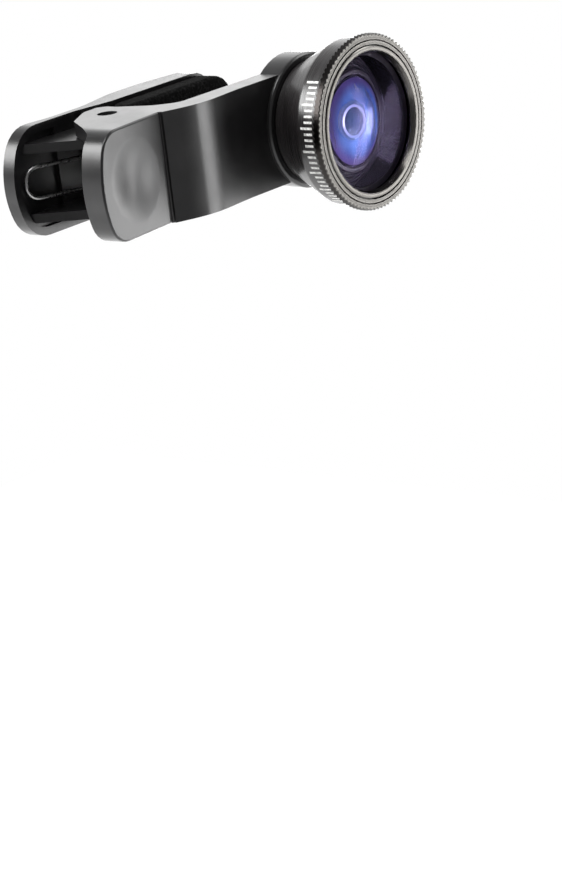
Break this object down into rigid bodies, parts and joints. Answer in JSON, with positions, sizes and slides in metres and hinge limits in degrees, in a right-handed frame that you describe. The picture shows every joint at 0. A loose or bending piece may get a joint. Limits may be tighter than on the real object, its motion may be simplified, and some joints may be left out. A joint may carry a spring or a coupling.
{
  "type": "clip on phone lens",
  "caption": "Sprung plastic clip with a screw-in domed wide-angle lens on its front jaw, soft pads on both jaws and finger plates behind the hinge",
  "frame": {"origin": "the front jaw's bearing face, on the side of its soft ring nearest the hinge, at half the clip's height", "axes": "+X along the arms from the finger plates to the lens, +Y from the front jaw into what it is clipped on and -Y the way the lens looks, +Z along the hinge axis"},
  "size_m": [0.0572, 0.0316, 0.025],
  "materials": {
    "clip_plastic": "moulded black plastic, satin gloss",
    "pin_steel": "plain steel pin",
    "spring_steel": "drawn spring wire",
    "pad_foam": "open black foam",
    "pad_rubber": "matt black rubber",
    "barrel_black": "black anodised aluminium",
    "bezel_bright": "turned bright aluminium",
    "front_glass": "blue-violet coated glass",
    "inner_glass": "coated glass",
    "inner_black": "matt black anodised",
    "stop_metal": "matt black with a bright edge at the hole"
  },
  "bodies": {
    "front_clip": {"front_arm": "clip_plastic", "hinge_pin": "pin_steel", "torsion_spring": "spring_steel", "front_ring_pad": "pad_rubber"},
    "rear_clip": {"rear_arm": "clip_plastic", "rear_jaw_pad": "pad_foam"},
    "lens_travel": {"rear_element": "inner_glass"},
    "lens": {"lens_barrel": "barrel_black", "front_bezel": "bezel_bright", "front_retaining_ring": "bezel_bright", "front_element": "front_glass", "element_cell": "inner_black", "aperture_stop": "stop_metal", "second_element": "inner_glass", "rear_retaining_ring": "inner_black"}
  },
  "joints": [
    {"name": "jaw_hinge", "type": "hinge", "parent": "front_clip", "child": "rear_clip", "pos_m": [-0.02335, 0.0062, 0], "axis": [0, 0, 1], "range_deg": [-14.5, 44], "stiffness_Nm_per_rad": 0.08, "springref_deg": -40.11, "deforming": ["torsion_spring"]},
    {"name": "lens_travel", "type": "slide", "parent": "front_clip", "child": "lens_travel", "axis": [0, -1, 0], "range_m": [0, 0.0038]},
    {"name": "lens_turn", "type": "hinge", "parent": "lens_travel", "child": "lens", "pos_m": [0.00805, 0, 0], "axis": [0, -1, 0], "range_deg": [0, 1800]}
  ],
  "couplings": [
    {"joint": "lens_travel", "follows": "lens_turn", "m_per_rad": 0.00011937}
  ]
}
